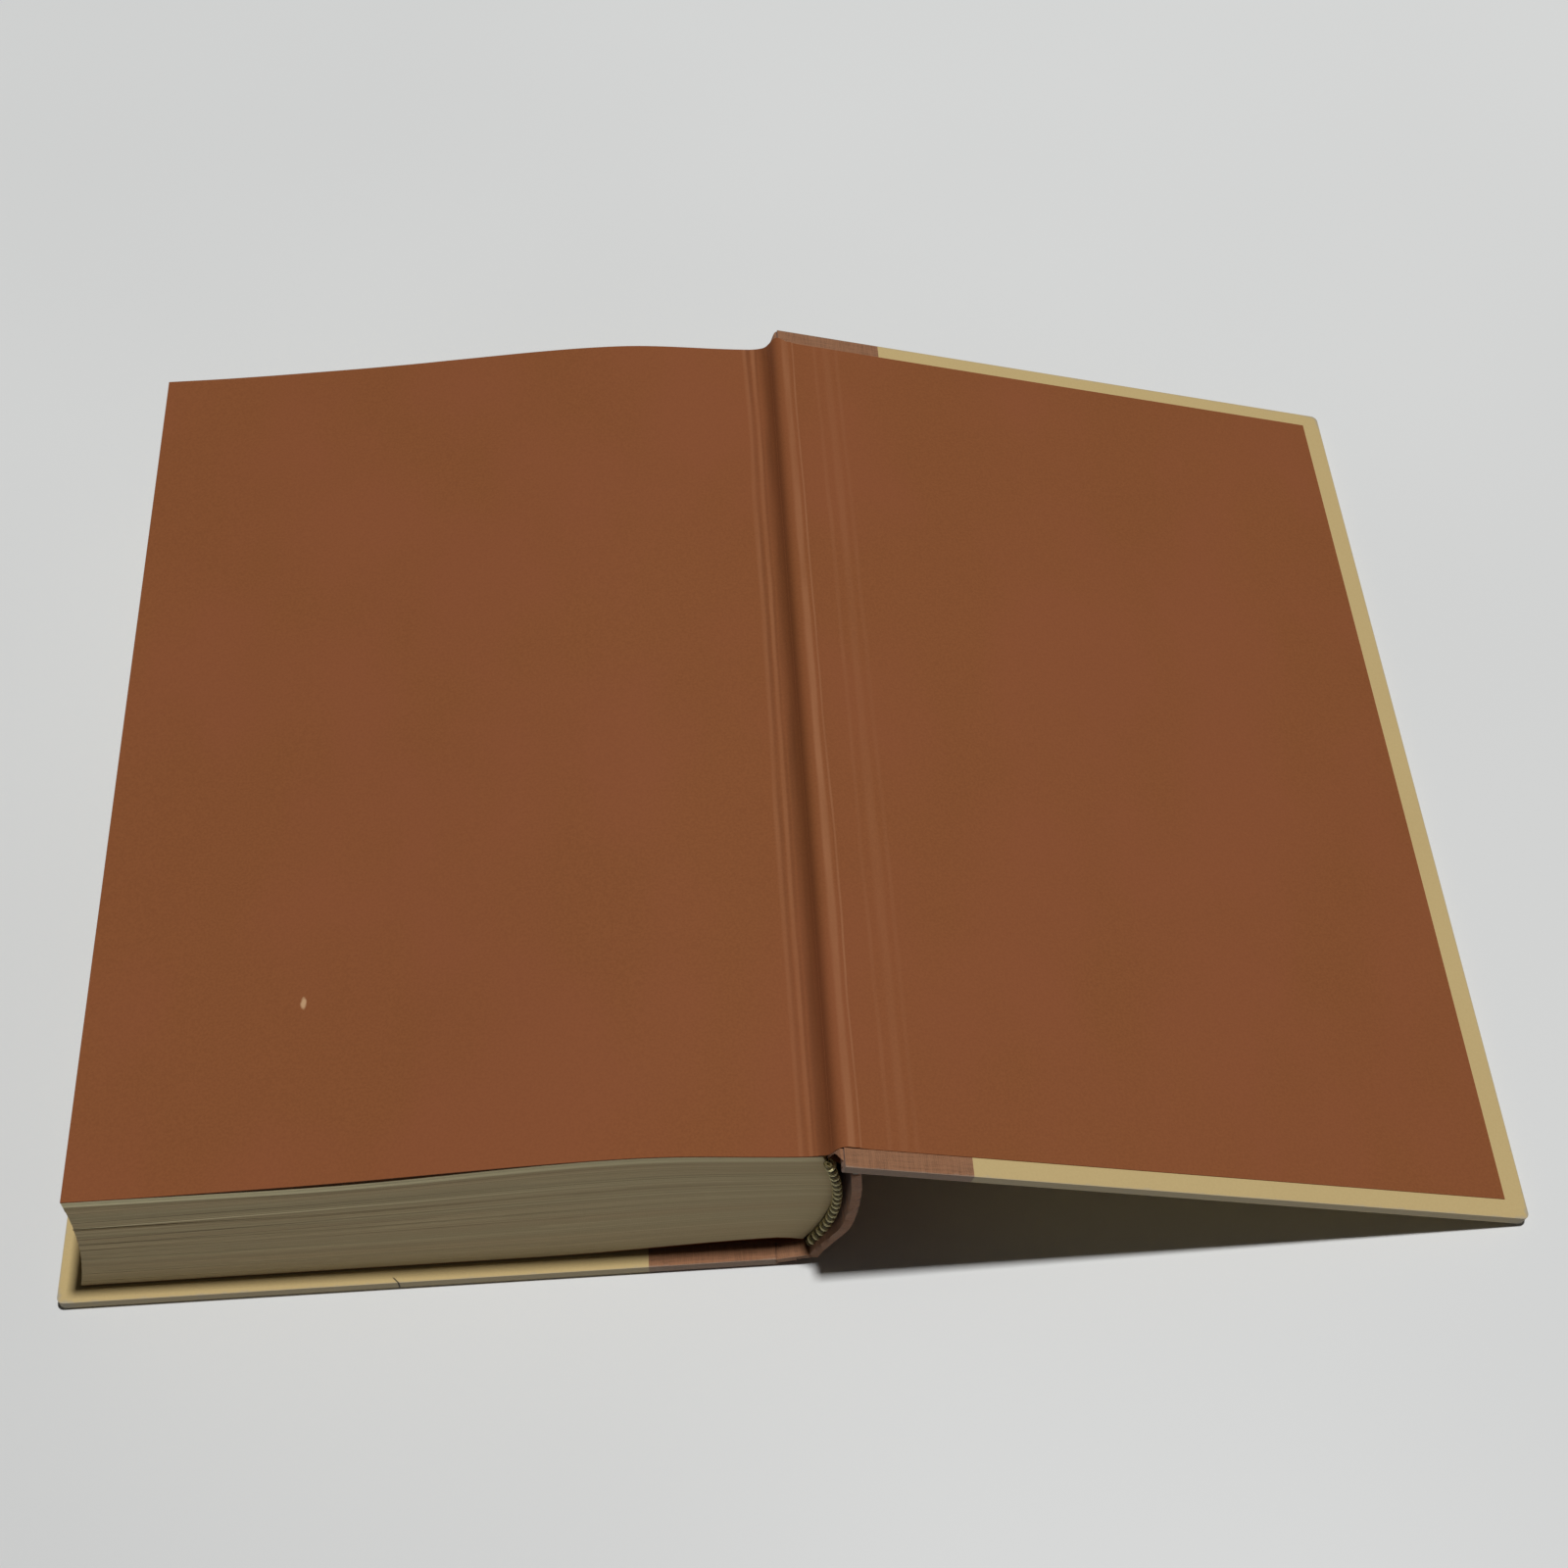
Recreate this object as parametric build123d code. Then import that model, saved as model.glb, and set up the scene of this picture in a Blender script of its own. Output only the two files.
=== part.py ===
# A sewn hardcover book, octavo size, lying on its closed front cover with the back cover thrown open.
# X runs from the leaves' fore edge to the open back cover, Y from tail to head, Z up from the table.
# Outlines are drawn in the X-Z plane as (x, z) points and run along Y. The finished pieces are moved
# at the end, so that the origin is on the table under the middle of the open book.
import os
from math import asin, atan2, cos, degrees, hypot, pi, radians, sin

from build123d import *

# Sheets and boards
board_height = 234.4
board_width = 147.6
board_thickness = 2.5
board_corner = 1.2
board_edge_round = 0.5
skin = 0.3
endpaper = 0.2
mull = 0.15
turn_in = 15.0
cloth_lap = 26.0
square = 3.5
pastedown_margin = 4.2
pastedown_fore_margin = 4.8
flange_width = 17.0
flange_margin = 14.0

# Cover joints
hinge_setback = 1.1
joint_width = 5.5
fold_gap = 0.15
cloth_fold_gap = 0.5
front_joint_rise = 10.0
back_joint_rise = 57.5
back_cover_slip = 1.5

# Page block
page_width = 149.1
soft_gap = 0.3
shoulder_in = 0.42
shoulder_up = 0.45
spine_height = 34.95
fore_edge_height = 35.9
spine_lean = 4.4
fore_edge_lean = 4.9
spine_round = 4.0
fore_edge_hollow = 1.5
crown_rise = 4.0
crown_in = 38.5
crown_run = 75.0
crown_fall = 45.0
crown_sharpness = 1.3
waist_lift = 2.3
waist_in = 6.0
waist_run = 50.0
waist_fall = 10.0
loose_leaf_loft = 0.9
loose_leaf_middle = 90.0
loose_leaf_run = 52.0

# Spine
lining = 0.3
mull_margin = 12.0
lining_margin = 1.0
glue_gap = 0.06
inlay_thickness = 1.2
spine_skin = 0.4
flap_gap = 0.45
flap_drop = 0.3
inlay_low = (1.5, -1.45)
inlay_waist = (4.7, 4.9)
inlay_knee = (7.75, 10.1)
inlay_belly = (9.4, 16.6)
inlay_top_out = 5.75
inlay_top_drop = 0.45
band_thread = 2.0
band_tape = 7.0
band_tape_thickness = 0.3
band_pitch = 1.7
band_turn_width = 1.45
band_slant = 14.0
band_margin = 1.2


def at(angle, length=1.0):
    return length * cos(radians(angle)), length * sin(radians(angle))


def plus(point, step):
    return point[0] + step[0], point[1] + step[1]


def vector(point):
    return Vector(point[0], 0, point[1])


def line(start, end):
    return Edge.make_line(vector(start), vector(end))


def arc(start, middle, end):
    return Edge.make_three_point_arc(vector(start), vector(middle), vector(end))


def curve(points):
    return Edge.make_spline([vector(point) for point in points])


def bowed(start, end, depth):
    # An arc whose middle stands depth to the right of the line from start to end.
    run = (end[0] - start[0], end[1] - start[1])
    length = hypot(*run)
    middle = ((start[0] + end[0]) / 2, (start[1] + end[1]) / 2)
    return arc(start, plus(middle, (depth * run[1] / length, -depth * run[0] / length)), end)


def bar(edges, low, high):
    face = Face(Wire(edges)).moved(Location((0, low, 0)))
    return Solid.extrude(face, Vector(0, high - low, 0))


def swell(distance, half_width):
    # A smooth hump, 1 at its middle and 0 from half_width on.
    if abs(distance) >= half_width:
        return 0.0
    return (1 + cos(pi * distance / half_width)) / 2


def shares():
    # The places along a curve, from 0 to 1, at which it is followed.
    last = 20
    return [index / last for index in range(last + 1)]


def sheet(points, thickness, low, high):
    # A sheet whose underside follows the points.
    upper = [plus(point, (0, thickness)) for point in points]
    edges = [curve(points), line(points[-1], upper[-1]), curve(upper), line(upper[0], points[0])]
    return bar(edges, low, high)


def strip(path, inner, outer, low, high, start=0.0, end=1.0):
    # A band between two offsets of a path, positive to the path's right.
    rails = {inner: [], outer: []}
    for share in shares():
        place = start + (end - start) * share
        point = path.position_at(place)
        along = path.tangent_at(place)
        for offset, rail in rails.items():
            rail.append((point.X + offset * along.Z, point.Z - offset * along.X))
    near, far = rails[inner], rails[outer]
    edges = [curve(near), line(near[-1], far[-1]), curve(far), line(far[0], near[0])]
    return bar(edges, low, high)


def straight_strip(start, angle, first, last, side, near, far, low, high):
    # A flat sheet beside the line that leaves start at this angle. side is +1 for its left, -1 for its right.
    along, out = at(angle), at(angle + 90 * side)

    def corner(run, off):
        return start[0] + run * along[0] + off * out[0], start[1] + run * along[1] + off * out[1]

    corners = [corner(first, near), corner(last, near), corner(last, far), corner(first, far)]
    return bar([line(a, b) for a, b in zip(corners, corners[1:] + corners[:1])], low, high)


# Levels and places that follow from the sizes above
case_height = board_height + 2 * skin
inner_face = endpaper / 2
outer_face = inner_face + board_thickness + skin
cover_reach = hinge_setback + board_width + skin
tail_of_pages = square
head_of_pages = case_height - square

front_hinge = (cover_reach, outer_face)
front_fold = plus(front_hinge, at(front_joint_rise, joint_width))
front_shoulder = plus(front_fold, (-shoulder_in, shoulder_up))
back_shoulder = plus(front_shoulder, (spine_lean, spine_height))
back_fold = plus(back_shoulder, (shoulder_in, shoulder_up))
back_hinge = plus(back_fold, at(back_joint_rise, joint_width))

# The open back cover comes down until the outer corner of its fore edge meets the table
back_cover_slope = degrees(asin(back_hinge[1] / hypot(cover_reach, outer_face)) - atan2(outer_face, cover_reach))

fore_low = (front_shoulder[0] - page_width, outer_face + inner_face + soft_gap + endpaper)
fore_high = plus(fore_low, (fore_edge_lean, fore_edge_height))


def page_floor(x):
    # The underside of the page block, lifted off the board near the spine.
    past_waist = x - (front_shoulder[0] - waist_in)
    hump = swell(past_waist, waist_run if past_waist < 0 else waist_fall)
    end_hump = swell(waist_in, waist_fall)
    share = (x - fore_low[0]) / (front_shoulder[0] - fore_low[0])
    base = fore_low[1] + share * (front_shoulder[1] - waist_lift * end_hump - fore_low[1])
    return base + waist_lift * hump


def page_roof(x):
    # The top of the page block, crowned where the leaves turn down into the spine.
    past_crown = x - (back_shoulder[0] - crown_in)
    hump = swell(past_crown, crown_run if past_crown < 0 else crown_fall)
    end_hump = swell(crown_in, crown_fall)
    share = (x - fore_high[0]) / (back_shoulder[0] - fore_high[0])
    base = fore_high[1] + share * (back_shoulder[1] - crown_rise * end_hump - fore_high[1])
    return base + crown_rise * (hump ** crown_sharpness if past_crown < 0 else hump)


def loose_leaf(x):
    # How far the free back endpaper stands off the page block.
    return glue_gap + loose_leaf_loft * swell(x - (back_shoulder[0] - loose_leaf_middle), loose_leaf_run)


def row(start_x, end_x, height):
    return [(x, height(x)) for x in (start_x + (end_x - start_x) * share for share in shares())]


def page_block():
    floor = curve(row(fore_low[0], front_shoulder[0], page_floor))
    back = bowed(front_shoulder, back_shoulder, spine_round)
    roof = curve(row(back_shoulder[0], fore_high[0], page_roof))
    fore = bowed(fore_low, fore_high, fore_edge_hollow)
    return bar([floor, back, roof, fore], tail_of_pages, head_of_pages)


def front_free_leaf():
    points = row(fore_low[0], front_shoulder[0], lambda x: page_floor(x) - endpaper - glue_gap)
    return sheet(points, endpaper, tail_of_pages, head_of_pages)


def back_free_leaf():
    points = row(fore_high[0], back_shoulder[0], lambda x: page_roof(x) + loose_leaf(x))
    return sheet(points, endpaper, tail_of_pages, head_of_pages)


def spine_path():
    return bowed(front_shoulder, back_shoulder, spine_round)


def spine_mull():
    low, high = tail_of_pages + mull_margin, head_of_pages - mull_margin
    return strip(spine_path(), glue_gap, glue_gap + mull, low, high, 0.01, 0.99)


def spine_lining():
    inside = 2 * glue_gap + mull
    low, high = tail_of_pages + lining_margin, head_of_pages - lining_margin
    return strip(spine_path(), inside, inside + lining, low, high, 0.03, 0.97)


def thread_turn(centre, along, width):
    # One turn of thread round the core of a band, an eight-sided disc that stands a little aslant.
    angle = degrees(atan2(along.Z, along.X)) + band_slant
    forwards, across = at(angle), at(angle + 90)
    radius = band_thread / 2
    corners = []
    for step in range(8):
        out, up = at(45 * step + 22.5, radius)
        corners.append((centre[0] + out * across[0] - width / 2 * forwards[0], centre[1] + up,
                        centre[2] + out * across[1] - width / 2 * forwards[1]))
    return Solid.extrude(Face(Wire.make_polygon(corners)), Vector(width * forwards[0], 0, width * forwards[1]))


def thread_band(end, outward):
    # A row of thread turns on the leaves' ends, on a tape glued over the spine lining.
    path = spine_path()
    inside = 3 * glue_gap + mull + lining
    edge = end + outward * band_thread
    body = strip(path, inside, inside + band_tape_thickness, *sorted((edge, end - outward * band_tape)), 0.03, 0.97)
    offset = inside + band_tape_thickness - band_thread / 2
    middle = end + outward * (band_thread / 2 + glue_gap)
    run = path.length - 2 * band_margin
    turns = round(run / band_pitch)
    for index in range(turns):
        place = (band_margin + (index + 0.5) * run / turns) / path.length
        point = path.position_at(place)
        along = path.tangent_at(place)
        centre = (point.X + offset * along.Z, middle, point.Z - offset * along.X)
        body = body.fuse(thread_turn(centre, along, band_turn_width))
    return body


def inlay_path():
    top = plus(back_fold, (inlay_top_out, -inlay_top_drop))
    points = [plus(front_fold, step) for step in (inlay_low, inlay_waist, inlay_knee, inlay_belly)]
    return curve(points + [(top[0] + 0.25, (points[-1][1] + top[1]) / 2), top])


def spine_inlay():
    path = inlay_path()
    half = inlay_thickness / 2
    end = spine_skin / path.length
    return strip(path, -half, half, spine_skin, case_height - spine_skin, end, 1 - end)


def spine_cloth():
    # A sleeve round the inlay, turned in at head and tail, with a flap that runs to the back cover's joint.
    path = inlay_path()
    half = inlay_thickness / 2
    full = half + spine_skin
    end = spine_skin / path.length
    sleeve = strip(path, -full, full, 0, case_height)
    window = strip(path, -2 * full, -half, turn_in, case_height - turn_in, end, 1 - end)
    near = plus(back_fold, (flap_gap, -flap_drop))
    far = plus(back_fold, (inlay_top_out - half, -inlay_top_drop))
    corners = [near, far, plus(far, (0, -spine_skin)), plus(near, (0, -spine_skin))]
    flap = bar([line(a, b) for a, b in zip(corners, corners[1:] + corners[:1])], 0, case_height)
    return sleeve.fuse(flap).cut(spine_inlay(), window).solid()


# Covers are built flat: X from the hinge axis to the fore edge, Y from the middle, Z towards the outside
def slab(x_low, x_high, height, z_low, z_high):
    box = Solid.make_box(x_high - x_low, height, z_high - z_low)
    return box.moved(Location((x_low, -height / 2, z_low)))


def rounded_slab(x_low, x_high, height, z_low, z_high, corner, edge_round):
    box = slab(x_low, x_high, height, z_low, z_high)
    box = box.fillet(corner, box.edges().filter_by(Axis.Z).sort_by(Axis.X)[-2:])
    rim = box.faces().sort_by(Axis.Z)[-1].edges().sort_by(Axis.X)[1:]
    return box.fillet(edge_round, rim)


def flat_board():
    board = rounded_slab(hinge_setback, hinge_setback + board_width, board_height, inner_face,
                         inner_face + board_thickness, board_corner, board_edge_round)
    # The turned-in cloth and paper are pressed flush into the board's inner face, and so is the mull
    rim = slab(0, cover_reach, case_height, inner_face, inner_face + skin)
    field = slab(0, cover_reach - turn_in, case_height - 2 * turn_in, inner_face, inner_face + skin)
    return board.cut(rim.cut(field), flat_flange()).solid()


def flat_flange():
    return slab(hinge_setback, hinge_setback + flange_width, board_height - 2 * flange_margin, inner_face,
                inner_face + mull)


def flat_casing():
    casing = rounded_slab(hinge_setback - skin, cover_reach, case_height, inner_face, outer_face,
                          board_corner + skin, board_edge_round + skin)
    field = slab(0, cover_reach - turn_in, case_height - 2 * turn_in, inner_face, inner_face + mull)
    return casing.cut(flat_board(), flat_flange()).cut(field.cut(slab(0, hinge_setback, case_height, 0, outer_face)))


def flat_cloth():
    return flat_casing().intersect(slab(0, hinge_setback + cloth_lap, case_height, 0, outer_face)).solid()


def flat_side_paper():
    beyond = slab(hinge_setback + cloth_lap, cover_reach, case_height, 0, outer_face)
    return flat_casing().intersect(beyond).solid()


def flat_pastedown():
    return slab(fold_gap, cover_reach - pastedown_fore_margin, case_height - 2 * pastedown_margin,
                -inner_face, inner_face)


front_place = Plane(origin=(front_hinge[0], case_height / 2, front_hinge[1]), x_dir=(-1, 0, 0), z_dir=(0, 0, -1))
back_along, back_out = at(-back_cover_slope), at(-back_cover_slope - 90)
back_place = Plane(
    origin=(back_hinge[0], case_height / 2 - back_cover_slip, back_hinge[1]),
    x_dir=(back_along[0], 0, back_along[1]),
    z_dir=(back_out[0], 0, back_out[1]),
)


def placed(solid, plane):
    return solid.moved(plane.location)


def joint_sheets(side, hinge, angle, slip):
    # The cloth, mull and endpaper of one cover joint, on a line from the hinge to the fold at the shoulder.
    layers = {
        "paper": (-inner_face, inner_face, fold_gap, square),
        "mull": (inner_face, inner_face + mull, cloth_fold_gap, tail_of_pages + mull_margin),
        "cloth": (inner_face + mull, inner_face + mull + skin, cloth_fold_gap, 0),
    }
    return {
        name: straight_strip(hinge, angle, gap, joint_width - gap, side, near, far,
                             margin - slip, case_height - margin - slip)
        for name, (near, far, gap, margin) in layers.items()
    }


front_strip = joint_sheets(-1, front_hinge, front_joint_rise, 0)
back_strip = joint_sheets(1, back_hinge, back_joint_rise + 180, back_cover_slip / 2)

nodes = {
    "front_board": placed(flat_board(), front_place),
    "front_board_cloth": placed(flat_cloth(), front_place),
    "front_side_paper": placed(flat_side_paper(), front_place),
    "front_pastedown": placed(flat_pastedown(), front_place),
    "front_mull_flange": placed(flat_flange(), front_place),
    "front_joint_cloth": front_strip["cloth"],
    "front_joint_mull": front_strip["mull"],
    "front_joint_paper": front_strip["paper"],
    "text_block": page_block(),
    "front_free_endpaper": front_free_leaf(),
    "back_free_endpaper": back_free_leaf(),
    "spine_mull": spine_mull(),
    "spine_lining": spine_lining(),
    "tailband": thread_band(tail_of_pages, -1),
    "headband": thread_band(head_of_pages, 1),
    "spine_inlay": spine_inlay(),
    "spine_cloth": spine_cloth(),
    "back_joint_cloth": back_strip["cloth"],
    "back_joint_mull": back_strip["mull"],
    "back_joint_paper": back_strip["paper"],
    "back_board": placed(flat_board(), back_place),
    "back_board_cloth": placed(flat_cloth(), back_place),
    "back_side_paper": placed(flat_side_paper(), back_place),
    "back_pastedown": placed(flat_pastedown(), back_place),
    "back_mull_flange": placed(flat_flange(), back_place),
}

# The origin goes to the table under the middle of the open book
far_x = back_hinge[0] + cover_reach * back_along[0] + inner_face * back_out[0]
middle = (far_x / 2, (case_height - back_cover_slip) / 2)
to_origin = Location((-middle[0], -middle[1], 0))


def centred(point):
    return round(point[0] - middle[0], 4), round(point[1], 4)


print("front hinge", centred(front_hinge), "front fold", centred(front_fold))
print("back fold", centred(back_fold), "back hinge", centred(back_hinge))
print("back cover slope", round(back_cover_slope, 3), "middle", middle)

os.makedirs("parts", exist_ok=True)
for name, solid in nodes.items():
    export_step(solid.moved(to_origin), f"parts/{name}.step")
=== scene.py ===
import random
from math import atan2, cos, hypot, pi, radians, sin

import bpy
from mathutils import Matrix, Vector, noise


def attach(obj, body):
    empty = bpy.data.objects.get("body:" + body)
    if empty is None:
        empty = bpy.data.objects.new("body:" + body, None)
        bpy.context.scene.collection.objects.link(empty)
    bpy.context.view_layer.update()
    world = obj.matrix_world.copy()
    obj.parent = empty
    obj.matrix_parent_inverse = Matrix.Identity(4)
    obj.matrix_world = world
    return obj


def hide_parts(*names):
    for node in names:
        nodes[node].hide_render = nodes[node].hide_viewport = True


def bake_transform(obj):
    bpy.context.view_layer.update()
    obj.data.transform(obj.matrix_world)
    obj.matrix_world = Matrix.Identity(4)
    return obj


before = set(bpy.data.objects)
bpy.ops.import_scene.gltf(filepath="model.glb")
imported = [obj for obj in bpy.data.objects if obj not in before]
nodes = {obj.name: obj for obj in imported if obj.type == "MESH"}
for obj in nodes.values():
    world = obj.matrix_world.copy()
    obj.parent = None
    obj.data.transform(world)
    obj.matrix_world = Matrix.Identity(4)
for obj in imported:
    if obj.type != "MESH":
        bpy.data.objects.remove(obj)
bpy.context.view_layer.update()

bpy.ops.object.select_all(action="DESELECT")
print("frame loaded,", len(nodes), "nodes")

# Everything below is in millimetres from the front cover's fore edge, the tail and the table, as in the
# part's source
book = {
    "middle": (152.4153, 116.75),  # x and y of the frame's origin
    "tail": 3.5,
    "head": 231.5,
    "caseHeight": 235.0,
    "frontHinge": (149.0, 2.9),
    "frontFold": (154.4165, 3.8551),
    "frontShoulder": (153.9965, 4.3051),
    "backShoulder": (158.3965, 39.2551),
    "backFold": (158.8165, 39.7051),
    "backHinge": (161.7716, 44.3437),
    "foreLow": (4.8965, 3.5),
    "foreHigh": (9.7965, 39.4),
    "coverSlope": 16.196,
    "frontRise": 10.0,  # slopes of the joint strips, in degrees
    "backRise": 57.5,
    "halfJoint": 2.75,
}

leafShape = {
    "crownRise": 4.0, "crownIn": 38.5, "crownRun": 75.0, "crownFall": 45.0, "crownSharpness": 1.3,
    "waistLift": 2.3, "waistIn": 6.0, "waistRun": 50.0, "waistFall": 10.0,
    "spineRound": 4.0, "foreHollow": 1.5,
}


# Shapes


def direction(angle, length=1.0):
    return (length * cos(radians(angle)), length * sin(radians(angle)))


def plus(point, step, times=1.0):
    return (point[0] + step[0] * times, point[1] + step[1] * times)


def inFrame(x, y, z):
    return Vector(((x - book["middle"][0]) / 1000, (y - book["middle"][1]) / 1000, z / 1000))


def swell(distance, halfWidth):
    return (1 + cos(pi * distance / halfWidth)) / 2 if abs(distance) < halfWidth else 0.0


def mix(a, b, share):
    return a + (b - a) * share


def between(value, pairs):
    # a value read off straight lines between (place, value) pairs
    for (a, va), (b, vb) in zip(pairs, pairs[1:]):
        if value <= b:
            return mix(va, vb, min(max((value - a) / (b - a), 0), 1))
    return pairs[-1][1]


def pageFloor(x):
    low, high = book["foreLow"], book["frontShoulder"]
    past = x - (high[0] - leafShape["waistIn"])
    hump = swell(past, leafShape["waistRun"] if past < 0 else leafShape["waistFall"])
    atShoulder = high[1] - leafShape["waistLift"] * swell(leafShape["waistIn"], leafShape["waistFall"])
    return mix(low[1], atShoulder, (x - low[0]) / (high[0] - low[0])) + leafShape["waistLift"] * hump


def pageRoof(x):
    low, high = book["foreHigh"], book["backShoulder"]
    past = x - (high[0] - leafShape["crownIn"])
    rising = swell(past, leafShape["crownRun"]) ** leafShape["crownSharpness"]
    hump = rising if past < 0 else swell(past, leafShape["crownFall"])
    atShoulder = high[1] - leafShape["crownRise"] * swell(leafShape["crownIn"], leafShape["crownFall"])
    return mix(low[1], atShoulder, (x - low[0]) / (high[0] - low[0])) + leafShape["crownRise"] * hump


def spinePath(share):
    # a point on the leaves' spine, and the direction along it
    low, high = book["frontShoulder"], book["backShoulder"]
    run = (high[0] - low[0], high[1] - low[1])
    length = hypot(*run)
    out = (run[1] / length, -run[0] / length)
    bow = 4 * leafShape["spineRound"] * share * (1 - share)
    slope = 4 * leafShape["spineRound"] * (1 - 2 * share)
    along = (run[0] + slope * out[0], run[1] + slope * out[1])
    size = hypot(*along)
    return plus(plus(low, run, share), out, bow), (along[0] / size, along[1] / size)


def easedPath(corners, step):
    # points along straight runs, with each corner (x, z, ease, ease after) rounded off over its eases
    points = [corners[0][:2]]
    for index, (x, z, *eases) in enumerate(corners[1:-1], 1):
        legs = []
        for other, ease in ((corners[index - 1], eases[0]), (corners[index + 1], eases[-1])):
            length = hypot(other[0] - x, other[1] - z)
            legs.append((x + (other[0] - x) * ease / length, z + (other[1] - z) * ease / length))
        run(points, legs[0], step)
        for part in (0.125, 0.25, 0.375, 0.5, 0.625, 0.75, 0.875, 1.0):
            points.append(tuple(
                legs[0][i] * (1 - part) ** 2 + (x, z)[i] * 2 * part * (1 - part) + legs[1][i] * part ** 2
                for i in (0, 1)))
    run(points, corners[-1][:2], step)
    return points


def run(points, end, step):
    start = points[-1]
    length = hypot(end[0] - start[0], end[1] - start[1])
    if length < 0.01:
        return
    count = max(1, round(length / step))
    points += [(mix(start[0], end[0], i / count), mix(start[1], end[1], i / count))
               for i in range(1, count + 1)]


def offsetPath(points, distance):
    # the same path, moved to its right by the distance
    moved = []
    for index, (x, z) in enumerate(points):
        a, b = points[max(index - 1, 0)], points[min(index + 1, len(points) - 1)]
        length = hypot(b[0] - a[0], b[1] - a[1])
        moved.append((x + distance * (b[1] - a[1]) / length, z - distance * (b[0] - a[0]) / length))
    return moved


def applyModifier(piece, kind, **settings):
    modifier = piece.modifiers.new(kind.title(), kind)
    for key, value in settings.items():
        setattr(modifier, key, value)
    bpy.context.view_layer.objects.active = piece
    bpy.ops.object.modifier_apply(modifier=modifier.name)


def smooth(piece, angle):
    bpy.ops.object.select_all(action="DESELECT")
    piece.select_set(True)
    bpy.context.view_layer.objects.active = piece
    bpy.ops.object.shade_smooth_by_angle(angle=radians(angle))
    piece.select_set(False)


def bentSheet(name, path, ends, rows, thickness, ripple=None):
    # a grid whose columns follow the path and whose rows run from tail to head, given its thickness
    columns = len(path) - 1
    bpy.ops.mesh.primitive_grid_add(x_subdivisions=columns, y_subdivisions=rows, size=1)
    piece = bpy.context.object
    piece.name = name
    lengths = [0.0]
    for a, b in zip(path, path[1:]):
        lengths.append(lengths[-1] + hypot(b[0] - a[0], b[1] - a[1]))
    mesh = piece.data
    places = []
    for vertex in mesh.vertices:
        column = round((vertex.co.x + 0.5) * columns)
        low, high = ends(path[column][0], lengths[column])
        y = mix(low, high, vertex.co.y + 0.5)
        x, z = path[column]
        if ripple:
            z += ripple(x, y)
        places.append((lengths[column] / 1000, y / 1000))
        vertex.co = inFrame(x, y, z)
    layer = mesh.uv_layers.active.data
    for loop in mesh.loops:
        layer[loop.index].uv = places[loop.vertex_index]
    applyModifier(piece, "SOLIDIFY", thickness=thickness / 1000, offset=0, use_even_offset=True)
    smooth(piece, 40)
    return piece


def joined(pieces):
    bpy.ops.object.select_all(action="DESELECT")
    for piece in pieces:
        piece.select_set(True)
    bpy.context.view_layer.objects.active = pieces[0]
    if len(pieces) > 1:
        bpy.ops.object.join()
    pieces[0].select_set(False)
    return pieces[0]


def dress(piece, *materials):
    piece.data.materials.clear()
    for material in materials:
        piece.data.materials.append(material)


# Shader helpers


def put(tree, kind, settings=None, **inputs):
    node = tree.nodes.new("ShaderNode" + kind)
    for key, value in (settings or {}).items():
        setattr(node, key, value)
    for key, value in inputs.items():
        feed(tree, node.inputs[key.replace("_", " ")], value)
    return node


def feed(tree, socket, value):
    if isinstance(value, bpy.types.NodeSocket):
        tree.links.new(value, socket)
    else:
        socket.default_value = value


def calc(tree, operation, a, b=0.0, c=0.0):
    node = put(tree, "Math", {"operation": operation})
    for socket, value in zip(node.inputs, (a, b, c)):
        feed(tree, socket, value)
    return node.outputs[0]


def blendColours(tree, factor, a, b, mode="MIX"):
    node = put(tree, "Mix", {"data_type": "RGBA", "blend_type": mode})
    for index, value in ((0, factor), (6, a), (7, b)):
        feed(tree, node.inputs[index], value)
    return node.outputs[2]


def grain(tree, vector, scale, detail=3.0, roughness=0.55):
    return put(tree, "TexNoise", Vector=vector, Scale=scale, Detail=detail,
               Roughness=roughness).outputs["Fac"]


def stretched(tree, vector, scale):
    return put(tree, "Mapping", Vector=vector, Scale=scale).outputs[0]


def band(tree, value, low, high, soft):
    # 1 between low and high, with soft sides
    rise = put(tree, "MapRange", {"interpolation_type": "SMOOTHSTEP"}, Value=value, From_Min=low - soft,
               From_Max=low)
    fall = put(tree, "MapRange", {"interpolation_type": "SMOOTHSTEP"}, Value=value, From_Min=high,
               From_Max=high + soft,
               To_Min=1.0, To_Max=0.0)
    return calc(tree, "MULTIPLY", rise.outputs[0], fall.outputs[0])


def levels(tree, value, low, high, toLow=0.0, toHigh=1.0):
    return put(tree, "MapRange", Value=value, From_Min=low, From_Max=high, To_Min=toLow,
               To_Max=toHigh).outputs[0]


def rgb(*values):
    return (*values, 1.0)


def newGroup(name, inputs, outputs):
    group = bpy.data.node_groups.new(name, "ShaderNodeTree")
    for title, kind, value in inputs:
        socket = group.interface.new_socket(title, in_out="INPUT", socket_type="NodeSocket" + kind)
        if value is not None:
            socket.default_value = value
    for title, kind in outputs:
        group.interface.new_socket(title, in_out="OUTPUT", socket_type="NodeSocket" + kind)
    return group, group.nodes.new("NodeGroupInput").outputs, group.nodes.new("NodeGroupOutput").inputs


def placeGroup(tree, group, **inputs):
    node = tree.nodes.new("ShaderNodeGroup")
    node.node_tree = group
    for key, value in inputs.items():
        feed(tree, node.inputs[key], value)
    return node.outputs


def newMaterial(name, roughness, specular=0.3):
    material = bpy.data.materials.new(name)
    material.use_nodes = True
    tree = material.node_tree
    shader = tree.nodes["Principled BSDF"]
    shader.inputs["Roughness"].default_value = roughness
    shader.inputs["Specular IOR Level"].default_value = specular
    return material, tree, shader


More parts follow.
